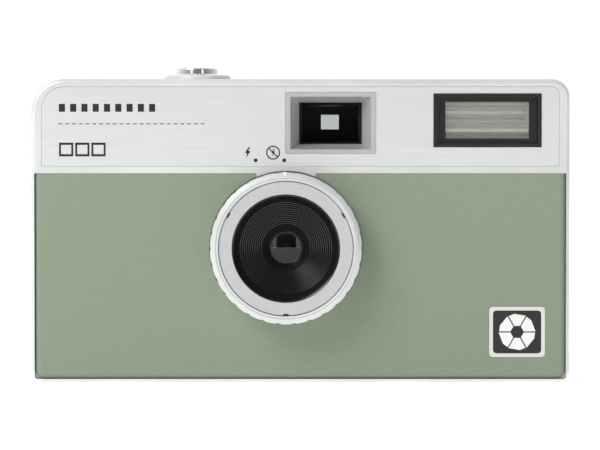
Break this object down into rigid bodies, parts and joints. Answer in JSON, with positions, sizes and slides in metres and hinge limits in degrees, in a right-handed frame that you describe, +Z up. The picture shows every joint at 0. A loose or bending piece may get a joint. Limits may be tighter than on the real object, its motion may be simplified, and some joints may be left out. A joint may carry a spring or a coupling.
{
  "type": "half frame camera",
  "caption": "Compact half frame film camera with grained front panel, turning lens ring, flash, viewfinder, thumbwheel advance and hinged back.",
  "frame": {"origin": "centre of the overall box on the plane the base rests on", "axes": "+X to the viewer's right when looking at the lens, +Y towards the back door, +Z up"},
  "size_m": [0.11, 0.039, 0.0644],
  "materials": {
    "silver_plastic": "satin silver paint",
    "brushed_plate": "finely brushed",
    "green_covering": "leather grain",
    "black_plastic": "matt",
    "chrome_metal": "polished",
    "clear_glass": "polished",
    "steel": "stamped",
    "grey_bezel": "satin",
    "flash_lens": "ribbed clear plastic",
    "mirror_foil": "bright",
    "circuit_board": "coated board",
    "capacitor_sleeve": "shrunk sleeve",
    "copper_winding": "wound",
    "contact_brass": "plated",
    "white_dial": "matt",
    "black_metal": "satin black",
    "foam": "foam"
  },
  "bodies": {
    "body": {"aperture_plate": "steel", "badge_field": "black_plastic", "badge_frame": "brushed_plate", "base_plate": "silver_plastic", "base_screws": "steel", "battery_contact": "contact_brass", "button_collar": "silver_plastic", "button_spring": "steel", "chassis": "black_plastic", "counter_window": "clear_glass", "door_hinge_pin": "steel", "eyepiece_frame": "black_plastic", "flash_bezel": "grey_bezel", "flash_board": "circuit_board", "flash_capacitor": "capacitor_sleeve", "flash_reflector": "mirror_foil", "flash_switch": "contact_brass", "flash_transformer": "copper_winding", "flash_tube": "clear_glass", "flash_window": "flash_lens", "front_cover": "silver_plastic", "front_lens": "clear_glass", "front_panel": "green_covering", "front_plate": "brushed_plate", "lens_barrel": "black_plastic", "lens_cone": "black_plastic", "lens_trim_ring": "brushed_plate", "pawl_pin": "steel", "rear_cover": "silver_plastic", "rear_lens": "clear_glass", "rewind_spring": "steel", "shutter_plate": "steel", "shutter_spring": "steel", "strap_bar": "chrome_metal", "viewfinder_bezel": "grey_bezel", "viewfinder_eyepiece_lens": "clear_glass", "viewfinder_front_lens": "clear_glass", "viewfinder_tube": "black_plastic"},
    "button": {"shutter_button": "chrome_metal"},
    "lever": {"release_lever": "steel"},
    "blade": {"shutter_blade": "steel"},
    "ring": {"flash_ring": "silver_plastic"},
    "advance": {"advance_wheel": "black_plastic", "take_up_spool": "black_plastic"},
    "sprocket_shaft": {"sprocket": "black_plastic", "metering_cam": "steel"},
    "counter": {"counter_dial": "white_dial"},
    "pawl": {"ratchet_pawl": "steel"},
    "crank": {"crank_knob": "black_plastic", "crank_pin": "steel"},
    "arm": {"crank_arm": "silver_plastic", "crank_grip": "black_plastic"},
    "rewind": {"rewind_button": "black_plastic"},
    "door": {"back_door": "silver_plastic", "door_leather": "green_covering", "pressure_spring": "steel", "light_seals": "foam"},
    "film_plate": {"pressure_plate": "black_metal"},
    "latch": {"door_latch": "black_plastic"},
    "battery_hatch": {"battery_door": "silver_plastic"}
  },
  "joints": [
    {"name": "shutter_button_press", "type": "slide", "parent": "body", "child": "button", "axis": [0, 0, -1], "range_m": [0, 0.001], "stiffness_N_per_m": 300, "deforming": ["button_spring"]},
    {"name": "release_lever_turn", "type": "hinge", "parent": "body", "child": "lever", "pos_m": [-0.012, -0.0084, 0.044], "axis": [0, -1, 0], "range_deg": [0, 6.3]},
    {"name": "shutter_blade_swing", "type": "hinge", "parent": "body", "child": "blade", "pos_m": [-0.009, -0.0086, 0.033], "axis": [0, 1, 0], "range_deg": [0, 41], "deforming": ["shutter_spring"]},
    {"name": "flash_ring_turn", "type": "hinge", "parent": "body", "child": "ring", "pos_m": [-0.0029, -0.015, 0.0276], "axis": [0, -1, 0], "range_deg": [0, 18.5]},
    {"name": "advance_wheel_turn", "type": "hinge", "parent": "body", "child": "advance", "pos_m": [-0.0315, 0.0065, 0.03], "axis": [0, 0, 1], "continuous": true},
    {"name": "sprocket_turn", "type": "hinge", "parent": "body", "child": "sprocket_shaft", "pos_m": [-0.0162, 0.00735, 0.03], "axis": [0, 0, 1], "continuous": true},
    {"name": "counter_dial_turn", "type": "hinge", "parent": "body", "child": "counter", "pos_m": [-0.041, 0.002, 0.059], "axis": [0, 0, 1], "continuous": true},
    {"name": "ratchet_pawl_lift", "type": "hinge", "parent": "body", "child": "pawl", "pos_m": [-0.0244, -0.0025, 0.052], "axis": [0, 0, -1], "range_deg": [0, 10], "stiffness_Nm_per_rad": 0.001},
    {"name": "rewind_crank_turn", "type": "hinge", "parent": "body", "child": "crank", "pos_m": [0.0396, 0.0038, 0.002], "axis": [0, 0, 1], "continuous": true},
    {"name": "crank_arm_fold", "type": "hinge", "parent": "crank", "child": "arm", "pos_m": [0.0344, 0.0038, 0.001], "axis": [0, 1, 0], "range_deg": [0, 90]},
    {"name": "rewind_button_press", "type": "slide", "parent": "body", "child": "rewind", "axis": [0, 0, 1], "range_m": [0, 0.0012], "stiffness_N_per_m": 200, "deforming": ["rewind_spring"]},
    {"name": "back_door_swing", "type": "hinge", "parent": "body", "child": "door", "pos_m": [-0.0534, 0.0171, 0.021], "axis": [0, 0, 1], "range_deg": [0, 110]},
    {"name": "pressure_plate_float", "type": "slide", "parent": "door", "child": "film_plate", "axis": [0, 1, 0], "range_m": [0, 0.0005], "stiffness_N_per_m": 500, "deforming": ["pressure_spring"]},
    {"name": "door_latch_slide", "type": "slide", "parent": "body", "child": "latch", "axis": [0, 0, 1], "range_m": [0, 0.0025], "stiffness_N_per_m": 150},
    {"name": "battery_door_swing", "type": "hinge", "parent": "body", "child": "battery_hatch", "pos_m": [-0.0406, -0.0024, 0.00075], "axis": [0, -1, 0], "range_deg": [0, 100]}
  ],
  "couplings": [
    {"joint": "release_lever_turn", "follows": "shutter_button_press", "rad_per_m": 107.5},
    {"joint": "shutter_blade_swing", "follows": "shutter_button_press", "rad_per_m": 698},
    {"joint": "sprocket_turn", "follows": "advance_wheel_turn", "ratio": 1.157},
    {"joint": "counter_dial_turn", "follows": "advance_wheel_turn", "ratio": 0.0289}
  ]
}
